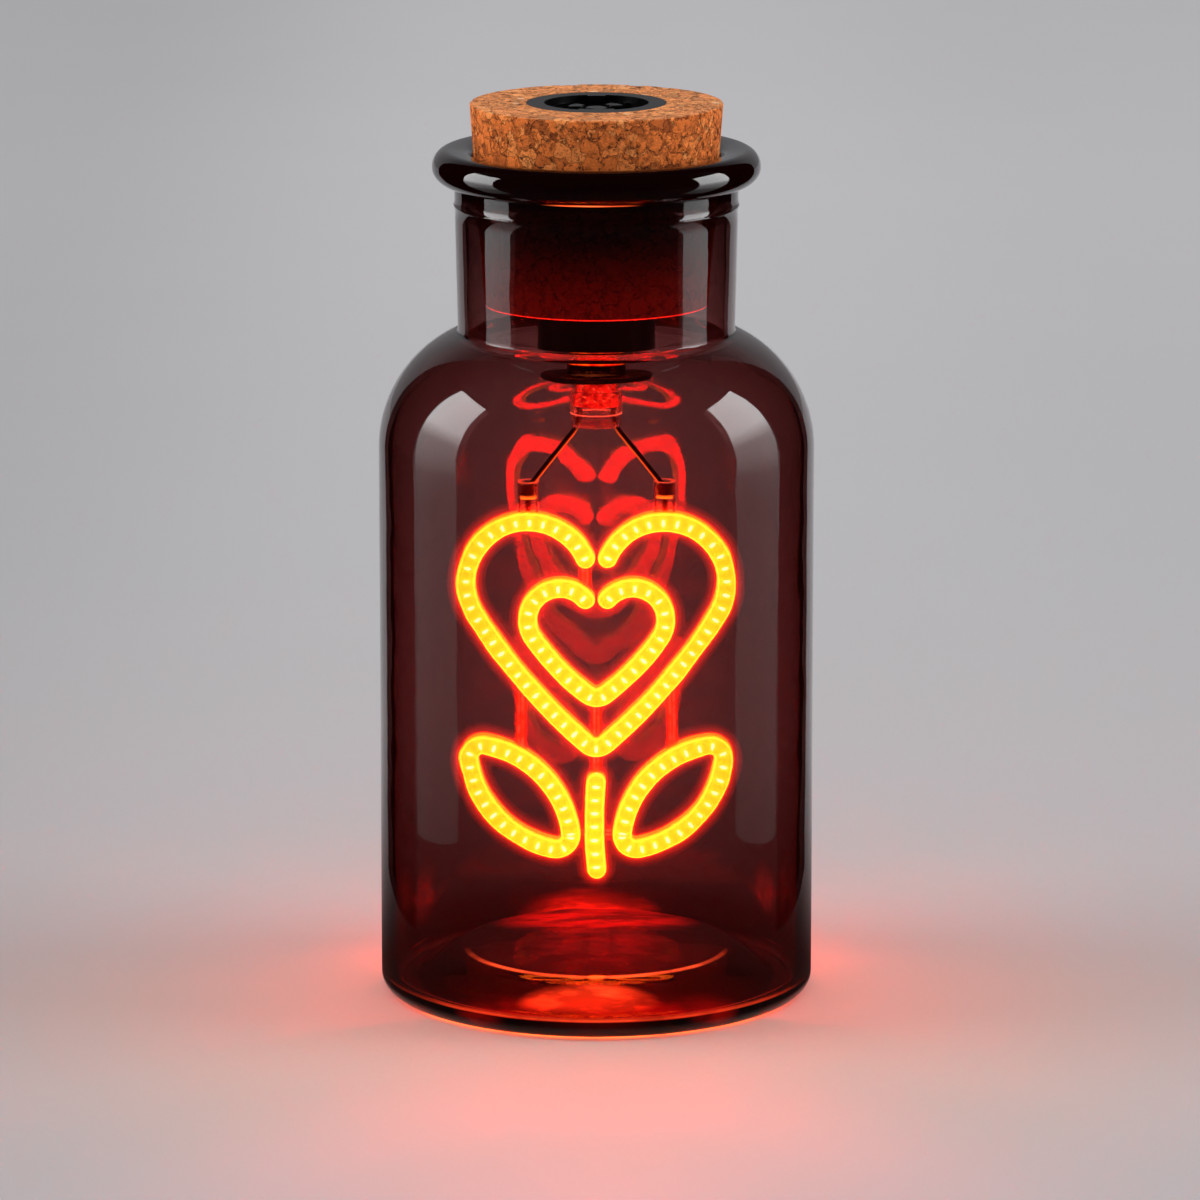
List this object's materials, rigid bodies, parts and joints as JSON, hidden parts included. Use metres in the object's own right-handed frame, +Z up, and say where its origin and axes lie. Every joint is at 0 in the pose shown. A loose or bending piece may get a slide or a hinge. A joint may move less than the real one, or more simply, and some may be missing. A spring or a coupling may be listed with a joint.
{
  "type": "bottle light",
  "caption": "Tinted glass bottle closed by a bored cork with a battery module, which hangs a luminous tube sign of a heart, stem and leaves inside; a button switches it.",
  "frame": {"origin": "centre of the foot ring on the table plane", "axes": "+Z up along the bottle's axis, the sign's front faces -Y, +X to the viewer's right"},
  "size_m": [0.11, 0.11, 0.228],
  "materials": {
    "tinted_glass": "smooth, smoky red-brown",
    "agglomerated_cork": "pressed granules, sanded",
    "black_plastic": "fine moulded grain",
    "brass": "bright",
    "spring_steel": "nickel plated",
    "cell_can": "wrapped can",
    "board_laminate": "solder mask",
    "chip_plastic": "moulded",
    "clear_plastic": "clear",
    "red_resin": "cloudy, lit from inside",
    "lead_insulation": "extruded",
    "plug_rubber": "moulded",
    "luminous_silicone": "milky, glowing",
    "light_strip": "glowing",
    "link_tube": "clear sleeve lit red",
    "tinned_wire": "tinned"
  },
  "bodies": {
    "bottle": {"bottle_glass": "tinted_glass"},
    "stopper": {"cork_stopper": "agglomerated_cork", "battery_housing": "black_plastic", "contact_strip": "brass", "housing_end_cap": "black_plastic", "battery_carrier": "black_plastic", "carrier_contacts": "brass", "cell_springs": "spring_steel", "cell_contacts": "brass", "battery_1": "cell_can", "battery_2": "cell_can", "battery_3": "cell_can", "driver_board": "board_laminate", "driver_chip": "chip_plastic", "board_components": "chip_plastic", "board_contact": "brass", "lamp_socket": "black_plastic", "socket_nut": "brass", "stub_sleeve": "clear_plastic", "stub_resin": "red_resin", "stub_collar": "clear_plastic", "left_lead": "lead_insulation", "right_lead": "lead_insulation", "left_end_sleeve": "clear_plastic", "right_end_sleeve": "clear_plastic", "left_end_plug": "plug_rubber", "right_end_plug": "plug_rubber", "heart_tube": "luminous_silicone", "inner_heart_tube": "luminous_silicone", "stem_tube": "luminous_silicone", "left_leaf_tube": "luminous_silicone", "right_leaf_tube": "luminous_silicone", "heart_led_strip": "light_strip", "inner_heart_led_strip": "light_strip", "stem_led_strip": "light_strip", "left_leaf_led_strip": "light_strip", "right_leaf_led_strip": "light_strip", "cleft_link": "link_tube", "inner_tip_link": "link_tube", "stem_link": "link_tube", "left_leaf_link": "link_tube", "right_leaf_link": "link_tube", "left_side_link": "link_tube", "right_side_link": "link_tube", "link_wires": "tinned_wire"},
    "cap": {"battery_cap": "black_plastic", "switch_body": "chip_plastic", "cap_contact_plate": "brass", "cap_contact_ring": "brass", "button_spring": "spring_steel"},
    "button": {"power_button": "black_plastic"}
  },
  "joints": [
    {"name": "stopper_lift", "type": "slide", "parent": "bottle", "child": "stopper", "axis": [0, 0, 1], "range_m": [0, 0.045]},
    {"name": "cap_turn", "type": "hinge", "parent": "stopper", "child": "cap", "pos_m": [0, 0, 0.222], "axis": [0, 0, 1], "range_deg": [0, 50]},
    {"name": "button_press", "type": "slide", "parent": "cap", "child": "button", "axis": [0, 0, -1], "range_m": [0, 0.0008], "stiffness_N_per_m": 400, "springref_m": -0.002, "deforming": ["button_spring"]}
  ]
}
